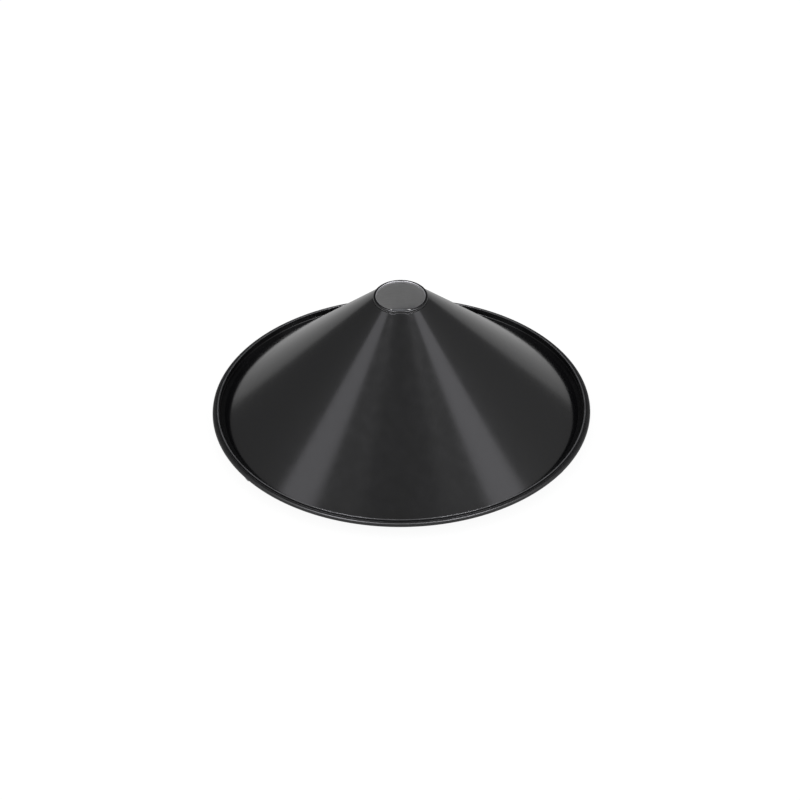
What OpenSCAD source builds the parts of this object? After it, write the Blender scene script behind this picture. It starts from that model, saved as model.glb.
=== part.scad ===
// Wide conical snoot for the front of a flash reflector.
// The base plane, on which the clip brackets stand, is z = 0. The axis of the cone is Z.

/* [Rim] */
// Outer diameter over the rim bead
rim_d = 225; // [200:1:260]
// Width of the flat gutter between the cone and the lip
gutter_w = 3.6; // [3:0.1:8]
// Height of the lip above the seat face
lip_h = 4.6; // [4:0.1:7]
// Diameter of the rolled rim bead
bead_d = 2.8; // [2.4:0.1:3]
// Height of the bead's middle above the seat face
bead_z = 2; // [1.8:0.1:2.4]

/* [Cone] */
// Thickness of the spun sheet
sheet_t = 0.8; // [0.6:0.1:1]
// Height of the tip ring's middle above the gutter floor
cone_h = 86.3; // [60:0.1:110]
// Inside radius of the bends between gutter and lip
bend_r = 0.6; // [0.4:0.1:1]

/* [Tip] */
// Diameter of the hole that the light leaves by
aperture_d = 29.2; // [26:0.1:40]
// Diameter of the rolled edge of the tip ring
tip_roll_d = 1.9; // [1.7:0.1:2.4]
// Depth of the flat land inside the rolled edge
tip_land = 0.15; // [0.1:0.05:0.25]

/* [Clips] */
// Number of spring clips around the flange
clip_count = 3; // [3:1:4]
// Angle of the first clip from the +Y axis
clip_turn = 10; // [0:1:60]
// How far the brackets reach below the seat face
clip_depth = 5.8; // [5.6:0.1:8]
// Width of a bracket
clip_w = 14; // [12:1:18]
// Radius at which the inner face of a bracket's leg stands
leg_r = 103.6; // [103.4:0.1:104]
// Thickness of a bracket
leg_t = 1; // [0.8:0.1:1.2]
// Reach of a bracket's foot under the flange, outwards from its leg
foot_w = 2; // [1.5:0.1:2.2]
// Thickness of the backing plate under the rivets
plate_t = 0.7; // [0.5:0.1:0.8]
// Thickness of the spring strip
spring_t = 0.4; // [0.3:0.1:0.5]
// Height of the spring strip
spring_w = 4; // [3.5:0.1:4.2]
// Length of the free arm along the rim
arm_len = 17; // [14:1:20]
// How far the arm bows outwards
arm_bow = 1.1; // [0.8:0.1:1.3]
// Diameter of the rivet shanks
rivet_d = 2.4; // [2:0.1:2.6]
// Diameter of the rivet heads
rivet_head_d = 4; // [3.6:0.1:4.2]
// Distance between a clip's two rivets
rivet_gap = 7.2; // [6:0.1:9]

/* [Hidden] */
$fn = 96;
round_fn = 48;
// Clearance between neighbouring pieces, and round a wire in its roll
tiny = 0.02;
wire_gap = 0.05;
clip_numbers = [1 : clip_count];

// Heights: the seat face is the underside of the flange, and the floor is its upper side
seat_z = clip_depth;
floor_z = seat_z + sheet_t;
lip_top = seat_z + lip_h;

// Rim, from the outside inwards
bead_r = rim_d / 2 - bead_d / 2;
lip_out = rim_d / 2 - bead_d;
lip_in = lip_out - sheet_t;
foot_r = lip_in - gutter_w;
bead_wall = 0.5;
bead_web_w = 0.6;
bead_web_h = 2.6;
rim_wire_r = bead_d / 2 - bead_wall;

// Tip ring: a rolled edge whose inner side is a flat land
tip_r = aperture_d / 2 + tip_roll_d / 2 - tip_land;
tip_z = floor_z + cone_h;
tip_wall = 0.42;
tip_wire_r = tip_roll_d / 2 - tip_wall;
tip_skirt_t = 0.35;
tip_skirt_h = 3;

// Cone: its outer face runs from the gutter floor to a flat top edge under the tip ring
top_z = tip_z - tip_roll_d / 2 - tiny;
top_out = tip_r + sheet_t + 0.2;
cone_tan = (top_z - floor_z) / (foot_r - top_out);
wall_dr = sheet_t / sin(atan(cone_tan));
function cone_out(z) = foot_r - (z - floor_z) / cone_tan;
function cone_in(z) = cone_out(z) - wall_dr;

// Clips, seen from outside with the rim above: x runs along the rim and y outwards
spring_y = leg_r + leg_t;
spring_z = seat_z - leg_t - 0.4 - spring_w / 2;
plate_w = clip_w - 1;
plate_h = 4.2;
head_h = 1.2;
tail_h = 0.9;
tail_d = 3.8;
arm_gap = 0.05;
arm_steps = 24;
// The bow rises to its crest at this share of the arm and falls again beyond it
arm_crest = 0.65;

// The arm's middle line: x from the bracket's edge, and how far it stands outwards there
function arm_rise(u) = arm_bow * (1 - cos(180 * u / arm_crest)) / 2;
function arm_point(u, side) = [
    -clip_w / 2 - arm_gap - arm_len * u,
    spring_y + arm_rise(u) + (side > 0 ? spring_t : 0)
];

module at_clip(i) {
    rotate([0, 0, -(clip_turn + (i - 1) * 360 / clip_count)]) children();
}

module ring_bar(r, z, bar_r) {
    rotate_extrude()
        translate([r, z]) circle(r = bar_r, $fn = round_fn);
}

// Bent corner between the flange and the lip, with its upper end open
module lip_corner() {
    c = [lip_out - sheet_t - bend_r, seat_z + sheet_t + bend_r];
    intersection() {
        translate(c) difference() {
            circle(r = bend_r + sheet_t, $fn = round_fn);
            circle(r = bend_r, $fn = round_fn);
        }
        translate([c[0], seat_z]) square([bend_r + sheet_t, bend_r + sheet_t]);
    }
}

module cone_shell() {
    corner = bend_r + sheet_t;
    color([0.06, 0.06, 0.065]) rotate_extrude() {
        polygon([
            [cone_in(seat_z), seat_z],
            [lip_out - corner, seat_z],
            [lip_out - corner, floor_z],
            [foot_r, floor_z],
            [top_out, top_z],
            [top_out - wall_dr, top_z]
        ]);
        lip_corner();
        translate([lip_in, seat_z + corner])
            square([sheet_t, lip_h - corner - sheet_t / 2]);
        translate([lip_in + sheet_t / 2, lip_top - sheet_t / 2])
            circle(r = sheet_t / 2, $fn = round_fn);
    }
}

// Rolled edge with a thin flared skirt that lies inside the top of the cone
module tip_ring() {
    land_h = sqrt(pow(tip_roll_d / 2, 2) - pow(tip_roll_d / 2 - tip_land, 2));
    skirt_low = top_z - tip_skirt_h;
    skirt_out = cone_in(skirt_low) - tiny;
    color([0.05, 0.05, 0.05]) rotate_extrude() difference() {
        union() {
            intersection() {
                translate([tip_r, tip_z]) circle(r = tip_roll_d / 2, $fn = round_fn);
                translate([aperture_d / 2, top_z]) square([tip_roll_d + 1, tip_roll_d + 1]);
            }
            polygon([
                [aperture_d / 2, tip_z - land_h],
                [skirt_out - tip_skirt_t, skirt_low],
                [skirt_out, skirt_low],
                [cone_in(top_z) - tiny, top_z],
                [tip_r, top_z + tiny]
            ]);
        }
        translate([tip_r, tip_z]) circle(r = tip_wire_r + wire_gap, $fn = round_fn);
    }
}

module tip_wire() {
    color([0.6, 0.6, 0.6]) ring_bar(tip_r, tip_z, tip_wire_r);
}

// Rolled bead with a flat web that lies against the outside of the lip
module rim_bead() {
    color([0.08, 0.08, 0.085]) rotate_extrude() difference() {
        union() {
            translate([bead_r, seat_z + bead_z]) circle(r = bead_d / 2, $fn = round_fn);
            translate([lip_out, seat_z + bead_z - bead_web_h / 2]) square([bead_web_w, bead_web_h]);
        }
        translate([bead_r, seat_z + bead_z]) circle(r = rim_wire_r + wire_gap, $fn = round_fn);
    }
}

module rim_wire() {
    color([0.6, 0.6, 0.6]) ring_bar(bead_r, seat_z + bead_z, rim_wire_r);
}

module rivet_holes(y, depth) {
    for (side = [-1, 1])
        translate([side * rivet_gap / 2, y, spring_z])
            rotate([-90, 0, 0]) cylinder(d = rivet_d + 2 * tiny, h = depth, $fn = round_fn);
}

// Angle bracket: its foot is welded under the flange and its leg stands down
module clip_bracket() {
    color([0.3, 0.3, 0.31]) difference() {
        union() {
            translate([-clip_w / 2, leg_r, 0]) cube([clip_w, leg_t, seat_z]);
            translate([-clip_w / 2, leg_r, seat_z - leg_t]) cube([clip_w, leg_t + foot_w, leg_t]);
        }
        rivet_holes(leg_r - 1, leg_t + 2);
    }
}

module backing_plate() {
    color([0.55, 0.55, 0.56]) difference() {
        translate([-plate_w / 2, leg_r - plate_t, spring_z - plate_h / 2])
            cube([plate_w, plate_t, plate_h]);
        rivet_holes(leg_r - plate_t - 1, plate_t + 2);
    }
}

// The riveted end of the leaf spring
module spring_root() {
    color([0.62, 0.63, 0.65]) difference() {
        translate([-clip_w / 2, spring_y, spring_z - spring_w / 2])
            cube([clip_w, spring_t, spring_w]);
        rivet_holes(spring_y - 1, spring_t + 2);
    }
}

// The free end of the leaf spring: it bows outwards and its tail turns back in
module spring_arm() {
    outer = [for (k = [0 : arm_steps]) arm_point(k / arm_steps, 1)];
    inner = [for (k = [arm_steps : -1 : 0]) arm_point(k / arm_steps, 0)];
    color([0.62, 0.63, 0.65])
        translate([0, 0, spring_z - spring_w / 2])
            linear_extrude(spring_w) polygon(concat(outer, inner));
}

// Round-headed rivet: shank, domed head outside and flat formed tail inside
module rivet(side) {
    head_y = spring_y + spring_t;
    tail_y = leg_r - plate_t;
    dome_r = (rivet_head_d * rivet_head_d / 4 + head_h * head_h) / (2 * head_h);
    color([0.5, 0.5, 0.5])
        translate([side * rivet_gap / 2, tail_y, spring_z]) rotate([-90, 0, 0]) rotate_extrude() {
            square([rivet_d / 2, head_y - tail_y]);
            translate([0, -tail_h]) square([tail_d / 2, tail_h]);
            intersection() {
                translate([0, head_y - tail_y + head_h - dome_r]) circle(r = dome_r);
                translate([0, head_y - tail_y]) square([rivet_head_d, head_h]);
            }
        }
}

cone_shell();
tip_ring();
tip_wire();
rim_bead();
rim_wire();
for (i = clip_numbers) {
    at_clip(i) clip_bracket();
    at_clip(i) backing_plate();
    at_clip(i) spring_root();
    at_clip(i) spring_arm();
    at_clip(i) rivet(-1);
    at_clip(i) rivet(1);
}
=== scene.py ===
import math

import bmesh
import bpy
from mathutils import Matrix, Vector


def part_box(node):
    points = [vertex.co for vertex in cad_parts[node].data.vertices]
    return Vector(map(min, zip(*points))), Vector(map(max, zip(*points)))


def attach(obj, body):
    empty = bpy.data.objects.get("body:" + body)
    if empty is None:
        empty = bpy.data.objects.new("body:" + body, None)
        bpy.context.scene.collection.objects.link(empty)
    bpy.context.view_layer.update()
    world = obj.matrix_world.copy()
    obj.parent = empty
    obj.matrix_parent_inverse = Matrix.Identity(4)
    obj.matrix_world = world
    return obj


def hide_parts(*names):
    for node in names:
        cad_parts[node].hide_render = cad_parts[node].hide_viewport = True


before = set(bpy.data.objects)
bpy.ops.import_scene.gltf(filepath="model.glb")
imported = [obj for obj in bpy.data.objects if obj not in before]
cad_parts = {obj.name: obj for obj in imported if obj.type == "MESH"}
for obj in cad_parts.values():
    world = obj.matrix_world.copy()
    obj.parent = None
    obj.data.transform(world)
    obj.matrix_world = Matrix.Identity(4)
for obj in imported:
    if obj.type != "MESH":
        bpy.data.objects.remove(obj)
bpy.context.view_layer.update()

mm = 0.001


# helpers

def linear(hexColour):
    # sRGB hex to the linear values that the shaders take
    parts = [int(hexColour[i:i + 2], 16) / 255 for i in (1, 3, 5)]
    return [c / 12.92 if c <= 0.04045 else ((c + 0.055) / 1.055) ** 2.4 for c in parts] + [1]


def addNode(tree, kind, settings=None, inputs=None):
    node = tree.nodes.new(kind)
    for name, value in (settings or {}).items():
        setattr(node, name, value)
    for name, value in (inputs or {}).items():
        if isinstance(value, bpy.types.NodeSocket):
            tree.links.new(value, node.inputs[name])
        else:
            node.inputs[name].default_value = value
    return node


def meshObject(name, points, faces=(), edges=()):
    data = bpy.data.meshes.new(name)
    data.from_pydata([[c * mm for c in p] for p in points], edges, faces)
    made = bpy.data.objects.new(name, data)
    bpy.context.scene.collection.objects.link(made)
    return made


def plainMesh(source, name):
    # what the modifiers give, as a plain closed mesh with its faces outwards
    graph = bpy.context.evaluated_depsgraph_get()
    data = bpy.data.meshes.new_from_object(source.evaluated_get(graph))
    bpy.data.objects.remove(source)
    data.name = name
    solid = bmesh.new()
    solid.from_mesh(data)
    bmesh.ops.remove_doubles(solid, verts=solid.verts, dist=1e-7)
    bmesh.ops.recalc_face_normals(solid, faces=solid.faces)
    solid.to_mesh(data)
    solid.free()
    made = bpy.data.objects.new(name, data)
    bpy.context.scene.collection.objects.link(made)
    return made


def runTree(source, name, tree, values):
    # values go to the tree's inputs by their names; the result is a plain mesh
    modifier = source.modifiers.new("tree", "NODES")
    modifier.node_group = tree
    for socket in tree.interface.items_tree:
        if socket.in_out == "INPUT" and socket.name in values:
            modifier[socket.identifier] = values[socket.name]
    return plainMesh(source, name)


def place(piece, body, slot, *nodes):
    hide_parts(*nodes)
    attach(piece, body)


# outlines: points of radius and height, or of any two directions, in mm

def arc(centre, radius, start, end, steps):
    turns = [math.radians(start + (end - start) * k / steps) for k in range(steps + 1)]
    return [(centre[0] + radius * math.cos(a), centre[1] + radius * math.sin(a)) for a in turns]


def between(start, end, steps, margin):
    # inner points of a straight stretch: the outer two keep the bends' shading off the flat
    length = math.dist(start, end)
    if length < 4 * margin:
        return []
    shares = [margin / length] + [k / steps for k in range(1, steps)] + [1 - margin / length]
    return [(start[0] + (end[0] - start[0]) * s, start[1] + (end[1] - start[1]) * s) for s in shares]


def joinStretches(stretches, margin=0.1, longStep=12):
    points = []
    for stretch in stretches + [stretches[0][:1]]:
        if points:
            steps = max(1, round(math.dist(points[-1], stretch[0]) / longStep))
            points += between(points[-1], stretch[0], steps, margin)
        points += stretch
    return points[:-1]


# sizes, in mm, read from the frame

def span(node):
    low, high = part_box(node)
    return [v / mm for v in low], [v / mm for v in high]


shellLow, shellHigh = span("cone_shell")
beadLow, beadHigh = span("rim_bead")
tipLow, tipHigh = span("tip_ring")
tipWireLow, tipWireHigh = span("tip_wire")
rimWireLow, rimWireHigh = span("rim_wire")

sheet = {
    "thickness": 0.8,       # spun aluminium
    "gutterWidth": 3.6,     # flat between the cone and the lip
    "lipHeight": 4.6,       # above the seat face
    "lipBend": 0.6,         # inside radius
    "footBend": 0.45,       # inside radius where the cone rises from the gutter
    "roundSteps": 288,
}
seatZ = shellLow[2]
floorZ = seatZ + sheet["thickness"]
lipTop = seatZ + sheet["lipHeight"]
lipOut = shellHigh[0]
lipIn = lipOut - sheet["thickness"]
footR = lipIn - sheet["gutterWidth"]
coneTop = shellHigh[2]
tipZ = (tipWireLow[2] + tipWireHigh[2]) / 2
tipRollR = tipHigh[2] - tipZ
tipR = tipWireHigh[0] - (tipWireHigh[2] - tipWireLow[2]) / 2
topOut = tipR + sheet["thickness"] + 0.2
slope = math.atan2(coneTop - floorZ, footR - topOut)
beadZ = (rimWireLow[2] + rimWireHigh[2]) / 2
beadRollR = (beadHigh[0] - lipOut) / 2
beadR = lipOut + beadRollR


# materials

def newMaterial(name):
    material = bpy.data.materials.new(name)
    material.use_nodes = True
    tree = material.node_tree
    tree.nodes.clear()
    shader = addNode(tree, "ShaderNodeBsdfPrincipled")
    addNode(tree, "ShaderNodeOutputMaterial", None, {0: shader.outputs[0]})
    return material, tree, shader


def noise(tree, coords, grainMm, detail=2.0):
    # grainMm is the width of one blotch
    return addNode(tree, "ShaderNodeTexNoise", None,
                   {"Vector": coords, "Scale": 1 / (grainMm * mm), "Detail": detail}).outputs[0]


def remap(tree, value, low, high, toLow, toHigh, kind="LINEAR"):
    return addNode(tree, "ShaderNodeMapRange", {"interpolation_type": kind},
                   {0: value, 1: low, 2: high, 3: toLow, 4: toHigh}).outputs[0]


def calculate(tree, operation, *values):
    return addNode(tree, "ShaderNodeMath", {"operation": operation}, dict(enumerate(values))).outputs[0]


def mixColour(tree, factor, first, second):
    return addNode(tree, "ShaderNodeMix", {"data_type": "RGBA"}, {0: factor, 6: first, 7: second}).outputs[2]


def fromAxis(tree, coords):
    # distance from the cone's axis, in metres
    flat = addNode(tree, "ShaderNodeVectorMath", {"operation": "MULTIPLY"}, {0: coords, 1: (1, 1, 0)})
    return addNode(tree, "ShaderNodeVectorMath", {"operation": "LENGTH"}, {0: flat.outputs[0]}).outputs[1]


def stovedEnamel(name, finish):
    # black enamel stoved on spun aluminium: a smooth skin with a slight orange peel,
    # through which the rings of the spinning tool still move the reflections a little
    material, tree, shader = newMaterial(name)
    coords = addNode(tree, "ShaderNodeTexCoord").outputs["Object"]
    colour = mixColour(tree, noise(tree, coords, finish["blotchMm"]),
                       linear(finish["dark"]), linear(finish["pale"]))
    rough = remap(tree, noise(tree, coords, finish["blotchMm"] / 3, 4.0), 0.3, 0.7,
                  finish["roughness"] - finish["roughSpread"], finish["roughness"] + finish["roughSpread"])
    ringMm = finish["ringMm"]
    drift = calculate(tree, "MULTIPLY_ADD", noise(tree, coords, 30), 1.5 * ringMm * mm, fromAxis(tree, coords))
    rings = calculate(tree, "SINE", calculate(tree, "MULTIPLY", drift, 2 * math.pi / (ringMm * mm)))
    ringBump = addNode(tree, "ShaderNodeBump", None,
                       {"Height": rings, "Distance": finish["ringHeightMm"] * mm})
    bump = addNode(tree, "ShaderNodeBump", None,
                   {"Height": noise(tree, coords, finish["peelMm"], 1.0),
                    "Distance": finish["peelHeightMm"] * mm, "Normal": ringBump.outputs[0]})
    tree.links.new(colour, shader.inputs["Base Color"])
    tree.links.new(rough, shader.inputs["Roughness"])
    tree.links.new(bump.outputs[0], shader.inputs["Normal"])
    shader.inputs["IOR"].default_value = 1.5
    return material, tree, shader


def crestPaintedHighlight(material, tree, shader, finish):
    # painted highlight: the top of the lip's crest is painted a lighter grey, in patches, standing for the glint
    # of the overhead light along its rounded top
    coords = addNode(tree, "ShaderNodeTexCoord").outputs["Object"]
    height = addNode(tree, "ShaderNodeSeparateXYZ", None, {0: coords}).outputs[2]
    onTop = remap(tree, height, (lipTop - finish["depthMm"]) * mm, (lipTop - finish["depthMm"] / 2) * mm, 0, 1)
    onLip = remap(tree, fromAxis(tree, coords), (lipIn - 0.1) * mm, lipIn * mm, 0, 1)
    patches = remap(tree, noise(tree, coords, finish["patchMm"]), 0.3, 0.6, 0.6, 1)
    crestHighlightMask = calculate(tree, "MULTIPLY", calculate(tree, "MULTIPLY", onTop, onLip), patches)
    enamel = shader.inputs["Base Color"].links[0].from_socket
    tree.links.new(mixColour(tree, crestHighlightMask, enamel, linear(finish["colour"])), shader.inputs["Base Color"])
    return material


# the gloss enamel carries a painted highlight along the lip's crest, in a lighter grey
glossEnamel = crestPaintedHighlight(*stovedEnamel("stovedEnamelGloss", {
    "dark": "#0a0a0b", "pale": "#0e0e10", "roughness": 0.16, "roughSpread": 0.02,
    "blotchMm": 18, "ringMm": 2.2, "ringHeightMm": 0.0006, "peelMm": 1.1, "peelHeightMm": 0.0015,
}), {"depthMm": 0.5, "patchMm": 7, "colour": "#505052"})
satinEnamel = stovedEnamel("stovedEnamelSatin", {
    "dark": "#7c7c7e", "pale": "#8a8a8c", "roughness": 0.36, "roughSpread": 0.04,
    "blotchMm": 14, "ringMm": 2.2, "ringHeightMm": 0.0012, "peelMm": 0.8, "peelHeightMm": 0.003,
})[0]
# the rim's enamel is a rougher satin paint, and its black is also painted greyer than the cone's: a painted sheen
# for the bead's brighter look under the lamps
rimEnamelPaintedSheen = stovedEnamel("stovedEnamelRimPaintedSheen", {
    "dark": "#1d1d1e", "pale": "#252526", "roughness": 0.30, "roughSpread": 0.03,
    "blotchMm": 9, "ringMm": 1.2, "ringHeightMm": 0.0004, "peelMm": 0.9, "peelHeightMm": 0.0015,
})[0]


def rubbedEdge(material, tree, shader, finish):
    # the enamel is rubbed through to satin aluminium inside a ring: pale metal with a broken border
    coords = addNode(tree, "ShaderNodeTexCoord").outputs["Object"]
    border = calculate(tree, "ADD", fromAxis(tree, coords),
                       calculate(tree, "MULTIPLY", noise(tree, coords, finish["ragMm"], 3.0),
                                 finish["raggedMm"] * mm))
    bare = remap(tree, border, finish["bareR"] * mm, (finish["bareR"] + finish["fadeMm"]) * mm, 1, 0)
    enamel = shader.inputs["Base Color"].links[0].from_socket
    enamelRough = shader.inputs["Roughness"].links[0].from_socket
    tree.links.new(mixColour(tree, bare, enamel, linear(finish["metal"])), shader.inputs["Base Color"])
    tree.links.new(bare, shader.inputs["Metallic"])
    rough = calculate(tree, "MULTIPLY_ADD", bare, finish["metalRoughness"] - 0.25, enamelRough)
    tree.links.new(rough, shader.inputs["Roughness"])
    return material


tipEnamel = rubbedEdge(*stovedEnamel("stovedEnamelRubbedTip", {
    "dark": "#0a0a0b", "pale": "#0e0e10", "roughness": 0.25, "roughSpread": 0.02,
    "blotchMm": 6, "ringMm": 1.2, "ringHeightMm": 0.0003, "peelMm": 0.8, "peelHeightMm": 0.001,
}), {"bareR": tipR - 0.62, "fadeMm": 0.12, "ragMm": 1.5, "raggedMm": 0.1,
     "metal": "#d2d2d4", "metalRoughness": 0.5})


def platedSteel(name, finish):
    # rolled steel strip or zinc-plated steel: mill streaks along the piece and a soft mottle
    material, tree, shader = newMaterial(name)
    coords = addNode(tree, "ShaderNodeTexCoord").outputs["Object"]
    mottle = noise(tree, coords, finish["mottleMm"], 3.0)
    colour = mixColour(tree, mottle, linear(finish["dark"]), linear(finish["pale"]))
    rough = remap(tree, mottle, 0.3, 0.7, finish["roughness"] - 0.05, finish["roughness"] + 0.07)
    squeezed = addNode(tree, "ShaderNodeMapping", None, {0: coords, 3: (1, 1, 12)}).outputs[0]
    bump = addNode(tree, "ShaderNodeBump", None,
                   {"Height": noise(tree, squeezed, finish["streakMm"]), "Distance": 0.003 * mm})
    tree.links.new(colour, shader.inputs["Base Color"])
    tree.links.new(rough, shader.inputs["Roughness"])
    tree.links.new(bump.outputs[0], shader.inputs["Normal"])
    shader.inputs["Metallic"].default_value = 1.0
    return material


springSteel = platedSteel("springSteelStrip", {"dark": "#85878b", "pale": "#a3a5a8", "roughness": 0.27,
                                               "mottleMm": 4, "streakMm": 3})
zincPlate = platedSteel("zincPlatedSteel", {"dark": "#7d8084", "pale": "#9c9ea1", "roughness": 0.38,
                                            "mottleMm": 2.5, "streakMm": 5})
print("materials made")


# trees

def newTree(name, inputs):
    tree = bpy.data.node_groups.new(name, "GeometryNodeTree")
    for label, kind in inputs:
        tree.interface.new_socket(label, in_out="INPUT", socket_type="NodeSocket" + kind)
    tree.interface.new_socket("Piece", in_out="OUTPUT", socket_type="NodeSocketGeometry")
    return tree, addNode(tree, "NodeGroupInput").outputs


def spinTree():
    # sweeps a closed outline round the Z axis; faces that look down can take a second finish
    tree, given = newTree("spinOutline", [("Outline", "Geometry"), ("Round steps", "Int"),
                                          ("Path radius", "Float"), ("Outside", "Material"),
                                          ("Underside", "Material")])
    path = addNode(tree, "GeometryNodeCurvePrimitiveCircle", None,
                   {"Resolution": given["Round steps"], "Radius": given["Path radius"]})
    profile = addNode(tree, "GeometryNodeMeshToCurve", None, {0: given["Outline"]})
    swept = addNode(tree, "GeometryNodeCurveToMesh", None, {0: path.outputs[0], 1: profile.outputs[0]})
    smooth = addNode(tree, "GeometryNodeSetShadeSmooth", None, {0: swept.outputs[0]})
    real = addNode(tree, "GeometryNodeRealizeInstances", None, {0: smooth.outputs[0]})
    outside = addNode(tree, "GeometryNodeSetMaterial", None, {0: real.outputs[0], 2: given["Outside"]})
    normal = addNode(tree, "GeometryNodeInputNormal")
    split = addNode(tree, "ShaderNodeSeparateXYZ", None, {0: normal.outputs[0]})
    down = addNode(tree, "FunctionNodeCompare", {"operation": "LESS_THAN"}, {0: split.outputs[2], 1: -0.25})
    under = addNode(tree, "GeometryNodeSetMaterial", None,
                    {0: outside.outputs[0], 1: down.outputs[0], 2: given["Underside"]})
    addNode(tree, "NodeGroupOutput", None, {0: under.outputs[0]})
    return tree


spinOutline = spinTree()


def spin(name, points, steps, outside, underside=None):
    # points run clockwise when the radius grows to the right, which turns the faces outwards
    pathR = sum(p[0] for p in points) / len(points)
    count = len(points)
    ring = meshObject(name + "Outline", [(r - pathR, -z, 0) for r, z in points],
                      edges=[(k, (k + 1) % count) for k in range(count)])
    return runTree(ring, name, spinOutline, {
        "Round steps": steps, "Path radius": pathR * mm,
        "Outside": outside, "Underside": underside or outside})


def clipTree():
    # a row of the same small piece along the rim, repeated at every clip
    tree, given = newTree("repeatAtClips", [("Small piece", "Geometry"), ("Row count", "Int"),
                                            ("Row gap", "Float"), ("Clips", "Int"), ("Clip step", "Float"),
                                            ("First turn", "Float"), ("Finish", "Material")])
    step = addNode(tree, "ShaderNodeCombineXYZ", None, {0: given["Row gap"]})
    halfRow = addNode(tree, "ShaderNodeMath", {"operation": "MULTIPLY_ADD"},
                      {0: given["Row count"], 1: -0.5, 2: 0.5})
    start = addNode(tree, "ShaderNodeVectorMath", {"operation": "SCALE"},
                    {0: step.outputs[0], 3: halfRow.outputs[0]})
    row = addNode(tree, "GeometryNodeMeshLine", None,
                  {"Count": given["Row count"], "Start Location": start.outputs[0], "Offset": step.outputs[0]})
    pieces = addNode(tree, "GeometryNodeInstanceOnPoints", None,
                     {"Points": row.outputs[0], "Instance": given["Small piece"]})
    clips = addNode(tree, "GeometryNodePoints", None, {"Count": given["Clips"]})
    turn = addNode(tree, "ShaderNodeMath", {"operation": "MULTIPLY_ADD"},
                   {0: addNode(tree, "GeometryNodeInputIndex").outputs[0], 1: given["Clip step"],
                    2: given["First turn"]})
    spinZ = addNode(tree, "ShaderNodeCombineXYZ", None, {2: turn.outputs[0]})
    rotation = addNode(tree, "FunctionNodeEulerToRotation", None, {0: spinZ.outputs[0]})
    placed = addNode(tree, "GeometryNodeInstanceOnPoints", None,
                     {"Points": clips.outputs[0], "Instance": pieces.outputs[0],
                      "Rotation": rotation.outputs[0]})
    real = addNode(tree, "GeometryNodeRealizeInstances", None, {0: placed.outputs[0]})
    painted = addNode(tree, "GeometryNodeSetMaterial", None, {0: real.outputs[0], 2: given["Finish"]})
    addNode(tree, "NodeGroupOutput", None, {0: painted.outputs[0]})
    return tree


repeatAtClips = clipTree()
print("trees made")


# the spun shell: cone, gutter and lip in one sheet

def shellOutline():
    t = sheet["thickness"]
    foot = sheet["footBend"]
    turnedOut = math.degrees(slope)
    footCentre = (footR + foot * math.tan(slope / 2), floorZ + foot)
    lipCentre = (lipIn - sheet["lipBend"], floorZ + sheet["lipBend"])
    crest = (lipIn + t / 2, lipTop - t / 2)
    wall = t / math.sin(slope)
    return joinStretches([
        [(topOut - wall, coneTop), (topOut, coneTop)],
        arc(footCentre, foot, 270 - turnedOut, 270, 8),
        arc(lipCentre, sheet["lipBend"], 270, 360, 8),
        arc(crest, t / 2, 180, 0, 10),
        arc(lipCentre, sheet["lipBend"] + t, 0, -90, 10),
        arc(footCentre, foot + t, 270, 270 - turnedOut, 8),
    ])


shell = spin("spunShell", shellOutline(), sheet["roundSteps"], glossEnamel, satinEnamel)
place(shell, "snoot", "shell_paint", "cone_shell")

bead = spin("rolledRimBead", joinStretches([
    [(lipOut, beadZ - 1.2), (lipOut, beadZ + 1.2)],
    arc((beadR, beadZ), beadRollR, 130, -130, 28),
]), sheet["roundSteps"], rimEnamelPaintedSheen)
place(bead, "snoot", "bead_paint", "rim_bead")


def tipOutline():
    landR = tipR - 0.8
    landTurn = math.degrees(math.acos(-0.8 / tipRollR))
    skirtLow = tipLow[2]
    wall = sheet["thickness"] / math.sin(slope)
    skirtR = topOut - wall + (coneTop - skirtLow) / math.tan(slope) - 0.02
    landLow = tipZ - tipRollR * math.sin(math.radians(landTurn))
    return joinStretches([
        [(landR, landLow)],
        arc((tipR, tipZ), tipRollR, landTurn, -90, 24),
        [(topOut - wall - 0.02, coneTop)],
        [(skirtR, skirtLow), (skirtR - 0.35, skirtLow)],
    ], margin=0.05)


tipRing = spin("rolledTipRing", tipOutline(), 144, tipEnamel, satinEnamel)
place(tipRing, "snoot", "ring_paint", "tip_ring")
print("spun pieces made")


# clips: x runs along the rim, y outwards, and each clip is then turned to its place

clip = {
    "count": 3,
    "turn": 10,            # degrees from +Y, clockwise seen from above
    "width": 14,
    "legR": 103.6,         # inner face of the leg
    "thickness": 1.0,
    "footReach": 2.0,      # outwards from the leg, under the flange
    "cornerR": 1.6,
    "plateT": 0.7,
    "plateH": 4.2,
    "springT": 0.4,
    "springH": 4.0,
    "rivetGap": 7.2,
    "rivetHeadD": 4.0,
    "rivetHeadH": 1.2,
    "rivetTailD": 3.8,
    "rivetTailH": 0.9,
    "armLength": 17,
    "armBow": 1.1,
    "armCrest": 0.65,      # share of the arm at which the bow is highest
    "armGap": 0.05,
}
springY = clip["legR"] + clip["thickness"]
springZ = seatZ - clip["thickness"] - 0.4 - clip["springH"] / 2


def loft(name, rings):
    # joins closed rings of the same number of points and closes both ends
    count = len(rings[0])
    faces = [[a * count + k, a * count + (k + 1) % count, (a + 1) * count + (k + 1) % count, (a + 1) * count + k]
             for a in range(len(rings) - 1) for k in range(count)]
    last = (len(rings) - 1) * count
    faces += [list(range(count))[::-1], list(range(last, last + count))]
    return meshObject(name, [p for ring in rings for p in ring], faces)


def softenEdges(piece, width, angle=32):
    bevel = piece.modifiers.new("soft edges", "BEVEL")
    bevel.width = width * mm
    bevel.segments = 2
    bevel.limit_method = "ANGLE"
    bevel.angle_limit = math.radians(angle)
    return piece


def shadeFlatBends(piece, angle=35):
    for face in piece.data.polygons:
        face.use_smooth = True
    piece.data.set_sharp_from_angle(angle=math.radians(angle))


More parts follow.
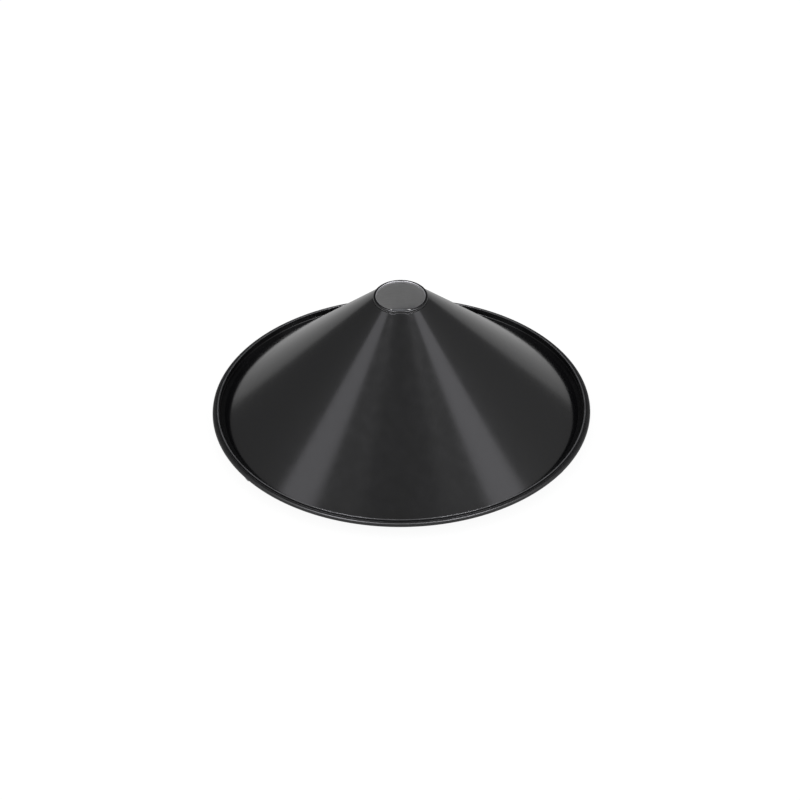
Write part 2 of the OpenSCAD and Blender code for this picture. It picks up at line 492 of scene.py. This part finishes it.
def cornerStations(halfWidth, radius, steps=8):
    # places along a strip, with how far the strip's edge is drawn in there to round its corners
    run = [(halfWidth - radius + radius * math.sin(a), radius - radius * math.cos(a))
           for a in (math.pi / 2 * k / steps for k in range(steps + 1))]
    return [(-x, drawn) for x, drawn in reversed(run)] + run


def atClips(piece, name, finish, rowCount=1, rowGap=0.0, only=None):
    step = -2 * math.pi / clip["count"]
    made = runTree(piece, name, repeatAtClips, {
        "Row count": rowCount, "Row gap": rowGap * mm, "Clips": 1 if only else clip["count"],
        "Clip step": step, "First turn": -math.radians(clip["turn"]) + step * ((only or 1) - 1),
        "Finish": finish})
    shadeFlatBends(made)
    return made


def clipNodes(stem, endings=("",)):
    return [f"{stem}_{i + 1}{ending}" for i in range(clip["count"]) for ending in endings]


def bracketRings():
    t = clip["thickness"]
    inner = clip["legR"]
    reach = inner + t + clip["footReach"]
    bendIn = 0.3
    bend = (inner + t + bendIn, seatZ - t - bendIn)
    rings = []
    for x, drawn in cornerStations(clip["width"] / 2, clip["cornerR"]):
        outline = [(inner, drawn)] + arc(bend, bendIn + t, 180, 90, 8)
        outline += [(reach, seatZ), (reach, seatZ - t)] + arc(bend, bendIn, 90, 180, 6) + [(inner + t, drawn)]
        rings.append([(x, y, z) for y, z in outline])
    return rings


brackets = atClips(softenEdges(loft("bracketBlank", bracketRings()), 0.1), "clipBrackets", rimEnamelPaintedSheen)
place(brackets, "snoot", "bracket_steel", *clipNodes("clip_bracket"))


def roundedStrip(name, halfWidth, height, thickness, y, z, radius):
    rings = []
    for x, drawn in cornerStations(halfWidth, radius):
        low, high = z - height / 2 + drawn, z + height / 2 - drawn
        rings.append([(x, y, low), (x, y, high), (x, y + thickness, high), (x, y + thickness, low)])
    return loft(name, rings)


plates = atClips(softenEdges(
    roundedStrip("plateBlank", clip["width"] / 2 - 0.5, clip["plateH"], clip["plateT"],
                 clip["legR"] - clip["plateT"], springZ, 1.0), 0.08), "rivetBackingPlates", zincPlate)
place(plates, "snoot", "plate_steel", *clipNodes("backing_plate"))

roots = atClips(softenEdges(
    roundedStrip("rootBlank", clip["width"] / 2, clip["springH"], clip["springT"], springY, springZ, 0.3),
    0.05), "springRoots", springSteel)
place(roots, "snoot", "spring_steel", *clipNodes("spring_root"))


def armRings():
    rings = []
    steps = 40
    tail = 1.5
    length = clip["armLength"]
    for k in range(steps + 1):
        along = length * (1 - (1 - k / steps) ** 1.4)
        rise = clip["armBow"] * (1 - math.cos(math.pi * along / length / clip["armCrest"])) / 2
        into = max(0.0, along - (length - tail)) / tail
        half = clip["springH"] / 2 - tail * (1 - math.sqrt(max(0.0, 1 - into * into)))
        x = -clip["width"] / 2 - clip["armGap"] - along
        y = springY + rise
        rings.append([(x, y, springZ - half), (x, y, springZ + half),
                      (x, y + clip["springT"], springZ + half), (x, y + clip["springT"], springZ - half)])
    return rings


for number in range(1, clip["count"] + 1):
    arm = atClips(softenEdges(loft("armBlank", armRings()), 0.05), f"springArm{number}", springSteel, only=number)
    place(arm, f"arm_{number}", "spring_steel", f"spring_arm_{number}")


def rivetBlank():
    headH, headR = clip["rivetHeadH"], clip["rivetHeadD"] / 2
    domeR = (headR * headR + headH * headH) / (2 * headH)
    headY = springY + clip["springT"]
    tailY = clip["legR"] - clip["plateT"]
    open_ = math.degrees(math.asin(headR / domeR))
    tailR = clip["rivetTailD"] / 2
    profile = joinStretches([
        arc((0, headY + headH - domeR), domeR, 90, 90 - open_, 10),
        [(1.2, headY), (1.2, tailY), (tailR, tailY)],
        arc((tailR - 0.2, tailY - clip["rivetTailH"] + 0.2), 0.2, 0, -90, 4),
        [(0, tailY - clip["rivetTailH"])],
    ], margin=0.04)
    blank = spin("rivetBlank", profile, 32, zincPlate)
    # the spun rivet stands on Z: it is laid over onto the rim's outward direction
    blank.data.transform(Matrix.Translation((0, 0, springZ * mm)) @ Matrix.Rotation(-math.pi / 2, 4, "X"))
    return blank


rivets = atClips(rivetBlank(), "clipRivets", zincPlate, rowCount=2, rowGap=clip["rivetGap"])
place(rivets, "snoot", "rivet_steel", *clipNodes("rivet", ("a", "b")))

for node in ("tip_wire", "rim_wire"):
    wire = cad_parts[node]
    wire.data.materials.clear()
    wire.data.materials.append(zincPlate)
print("clips made")


# studio

studio = {
    "floorSize": 40.0,          # metres, wide enough to reach the horizon
    "paperGrey": 0.10,          # share of the paper's white that a shadow can take away
    "paperGlow": 0.93,          # its plain white for the camera
    "paperInGloss": 0.45,       # its level as the enamel shows it
    "plainLight": 0.9,          # light of the room on every surface
    "roomBehind": 0.22,         # levels of the room as the enamel shows it, low down behind
    "roomSides": 0.60,
    "roomFront": 0.42,
    "roomHighBehind": 0.03,
    "roomAbove": 2.2,
    "rightShare": 0.12,         # how much brighter the room is on the right
}


def showsRoom(tree):
    # 1 for rays that come by gloss or through glass
    path = addNode(tree, "ShaderNodeLightPath").outputs
    return calculate(tree, "MAXIMUM", path["Is Glossy Ray"], path["Is Transmission Ray"]), path["Is Camera Ray"]


def blend(tree, factor, first, second):
    return addNode(tree, "ShaderNodeMix", {"data_type": "FLOAT"}, {0: factor, 2: first, 3: second}).outputs[0]


def makeFloor():
    half = studio["floorSize"] / 2
    floor = meshObject("studioFloor", [(x / mm, y / mm, 0) for x, y in
                                       ((-half, -half), (half, -half), (half, half), (-half, half))],
                       [(0, 1, 2, 3)])
    floor.data.transform(Matrix.Translation((0, 0, -0.0001)))
    material = bpy.data.materials.new("whitePaper")
    material.use_nodes = True
    tree = material.node_tree
    tree.nodes.clear()
    gloss, camera = showsRoom(tree)
    paper = addNode(tree, "ShaderNodeBsdfDiffuse", None, {0: (0.85, 0.85, 0.85, 1)})
    shaded = addNode(tree, "ShaderNodeBsdfDiffuse", None, {0: (*[studio["paperGrey"]] * 3, 1)})
    level = blend(tree, gloss, studio["paperGlow"], studio["paperInGloss"])
    glow = addNode(tree, "ShaderNodeEmission", None, {0: (1, 1, 1, 1), 1: level})
    seen = addNode(tree, "ShaderNodeAddShader", None, {0: shaded.outputs[0], 1: glow.outputs[0]})
    mixed = addNode(tree, "ShaderNodeMixShader", None,
                    {0: calculate(tree, "MAXIMUM", gloss, camera), 1: paper.outputs[0], 2: seen.outputs[0]})
    addNode(tree, "ShaderNodeOutputMaterial", None, {0: mixed.outputs[0]})
    floor.data.materials.append(material)


def makeWorld():
    # the room: white to the camera, plain light on surfaces, and soft walls in the enamel
    world = bpy.data.worlds.new("studioRoom")
    bpy.context.scene.world = world
    world.use_nodes = True
    tree = world.node_tree
    tree.nodes.clear()
    way = addNode(tree, "ShaderNodeTexCoord").outputs["Generated"]
    x, y, z = addNode(tree, "ShaderNodeSeparateXYZ", None, {0: way}).outputs
    sides = remap(tree, y, 0.0, 0.75, studio["roomSides"], studio["roomBehind"])
    middle = remap(tree, calculate(tree, "ABSOLUTE", x), 0.25, 0.38, 1, 0, "SMOOTHSTEP")
    inFront = remap(tree, y, -0.35, -0.15, 1, 0, "SMOOTHSTEP")
    walls = blend(tree, calculate(tree, "MULTIPLY", middle, inFront), sides, studio["roomFront"])
    highBehind = calculate(tree, "MULTIPLY", remap(tree, z, 0.42, 0.55, 0, 1, "SMOOTHSTEP"),
                           remap(tree, y, 0.2, 0.5, 0, 1, "SMOOTHSTEP"))
    room = blend(tree, highBehind, walls, studio["roomHighBehind"])
    overhead = calculate(tree, "MULTIPLY", remap(tree, z, 0.84, 0.93, 0, 1, "SMOOTHSTEP"),
                         remap(tree, calculate(tree, "ABSOLUTE", x), 0.04, 0.18, 0.2, 1))
    room = blend(tree, overhead, room, studio["roomAbove"])
    room = calculate(tree, "MULTIPLY", room, calculate(tree, "MULTIPLY_ADD", x, studio["rightShare"], 1.0))
    gloss, camera = showsRoom(tree)
    strength = blend(tree, camera, blend(tree, gloss, studio["plainLight"], room), 1.0)
    back = addNode(tree, "ShaderNodeBackground", None, {0: (1, 1, 1, 1), 1: strength})
    addNode(tree, "ShaderNodeOutputWorld", None, {0: back.outputs[0]})


def softbox(name, direction, distance, size, radiance):
    data = bpy.data.lights.new(name, "AREA")
    data.shape = "RECTANGLE"
    data.size, data.size_y = size
    data.energy = radiance * math.pi * size[0] * size[1]
    data.color = (0.95, 0.94, 1.0)
    lamp = bpy.data.objects.new(name, data)
    bpy.context.scene.collection.objects.link(lamp)
    lamp.location = Vector(direction).normalized() * distance
    lamp.rotation_euler = Vector(direction).to_track_quat("Z", "Y").to_euler()
    return lamp


softboxes = {
    "left": {"direction": (-0.72, -0.22, 0.66), "distance": 1.5, "size": (0.46, 0.7), "radiance": 1.45},
    "right": {"direction": (0.72, -0.22, 0.66), "distance": 1.5, "size": (0.46, 0.7), "radiance": 1.55},
}


# narrow lamps overhead that only glint on the rim's lip and on the tip ring
strips = {
    "left": {"direction": (-0.32, -0.19, 0.93), "distance": 1.5, "size": (0.4, 0.4), "radiance": 24},
    "right": {"direction": (0.32, -0.19, 0.93), "distance": 1.5, "size": (0.4, 0.4), "radiance": 24},
}


def makeCamera():
    view = {
        "elevation": 36.9,      # degrees above the horizontal
        "distance": 10.0,       # metres: a long lens from far off
        "width": 0.4763,        # metres across the picture at the object
        "aim": (-0.0008, 0.0, 0.0165),
        "roll": -0.43,
    }
    data = bpy.data.cameras.new("studioCamera")
    data.sensor_width = 36
    data.lens = 36 * view["distance"] / view["width"]
    data.clip_end = 100
    camera = bpy.data.objects.new("studioCamera", data)
    bpy.context.scene.collection.objects.link(camera)
    up = math.radians(view["elevation"])
    away = Vector((0, -math.cos(up), math.sin(up)))
    camera.location = Vector(view["aim"]) + away * view["distance"]
    turn = away.to_track_quat("Z", "Y").to_matrix().to_4x4() @ Matrix.Rotation(math.radians(view["roll"]), 4, "Z")
    camera.rotation_euler = turn.to_euler()
    bpy.context.scene.camera = camera


makeFloor()
makeWorld()
for side, box in softboxes.items():
    softbox(side + "Softbox", box["direction"], box["distance"], box["size"], box["radiance"])
for side, strip in strips.items():
    lamp = softbox(side + "Strip", strip["direction"], strip["distance"], strip["size"], strip["radiance"])
    lamp.visible_diffuse = False
makeCamera()
bpy.context.scene.view_settings.view_transform = "Standard"
print("studio made")
